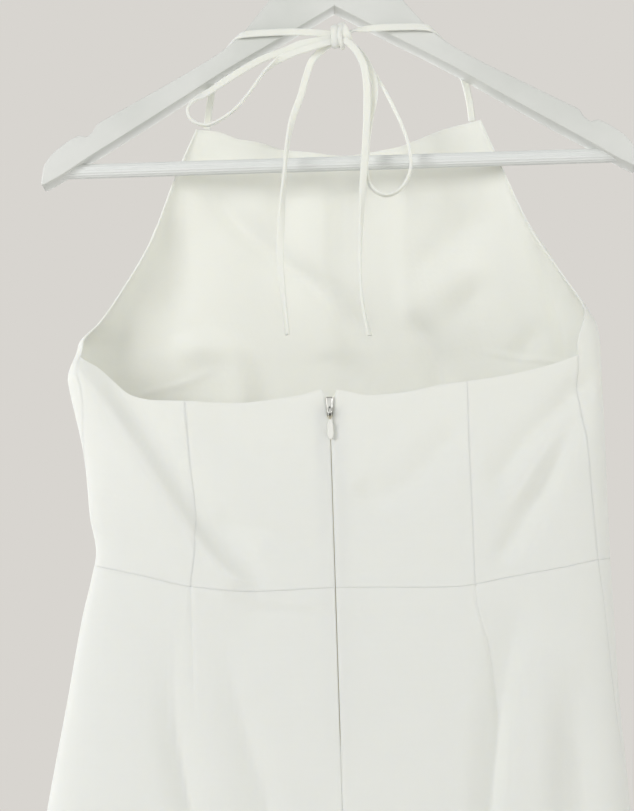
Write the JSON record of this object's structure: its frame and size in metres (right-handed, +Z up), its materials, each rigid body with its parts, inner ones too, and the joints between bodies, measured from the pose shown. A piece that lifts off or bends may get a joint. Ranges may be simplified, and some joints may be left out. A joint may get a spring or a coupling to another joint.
{
  "type": "halter dress on a hanger",
  "caption": "Sleeveless halter dress with open back, neck ties in a bow and a back zip, hung on a wooden hanger.",
  "frame": {"origin": "inside top of the hanger's hook, where the rail bears", "axes": "+X to the right of someone who looks at the back of the dress, +Y from its back to its front, +Z up"},
  "size_m": [0.5045, 0.1621, 1.0535],
  "materials": {
    "cloth": "smooth heavy plain weave, matt ivory",
    "zip_tape": "fine woven tape, pale yellowish beige",
    "zip_metal": "small die-cast slider, satin",
    "enamel": "ivory enamel, semi-gloss",
    "painted_wood": "white paint on wood, satin",
    "sleeve": "white ribbed plastic sleeve on the bar",
    "hook_wire": "polished wire"
  },
  "bodies": {
    "dress_on_hanger": {"front_bodice": "cloth", "back_side_left": "cloth", "back_side_right": "cloth", "back_centre_left": "cloth", "back_centre_right": "cloth", "skirt_front": "cloth", "skirt_back_left": "cloth", "skirt_back_right": "cloth", "neck_tie_left": "cloth", "neck_tie_right": "cloth", "bow_knot": "cloth", "bow_loop_left": "cloth", "bow_loop_right": "cloth", "tie_tail_left": "cloth", "tie_tail_right": "cloth", "zip_tape_left": "zip_tape", "zip_tape_right": "zip_tape", "zip_slider": "zip_metal", "hanger_arm_left": "painted_wood", "hanger_arm_right": "painted_wood", "hanger_bar": "sleeve", "hanger_hook": "hook_wire"},
    "zip_pull": {"zip_pull": "enamel"}
  },
  "joints": [
    {"name": "pull_swing", "type": "hinge", "parent": "dress_on_hanger", "child": "zip_pull", "pos_m": [-0.0135, -0.04924, -0.41745], "axis": [-1, 0, 0], "range_deg": [0, 175]}
  ]
}
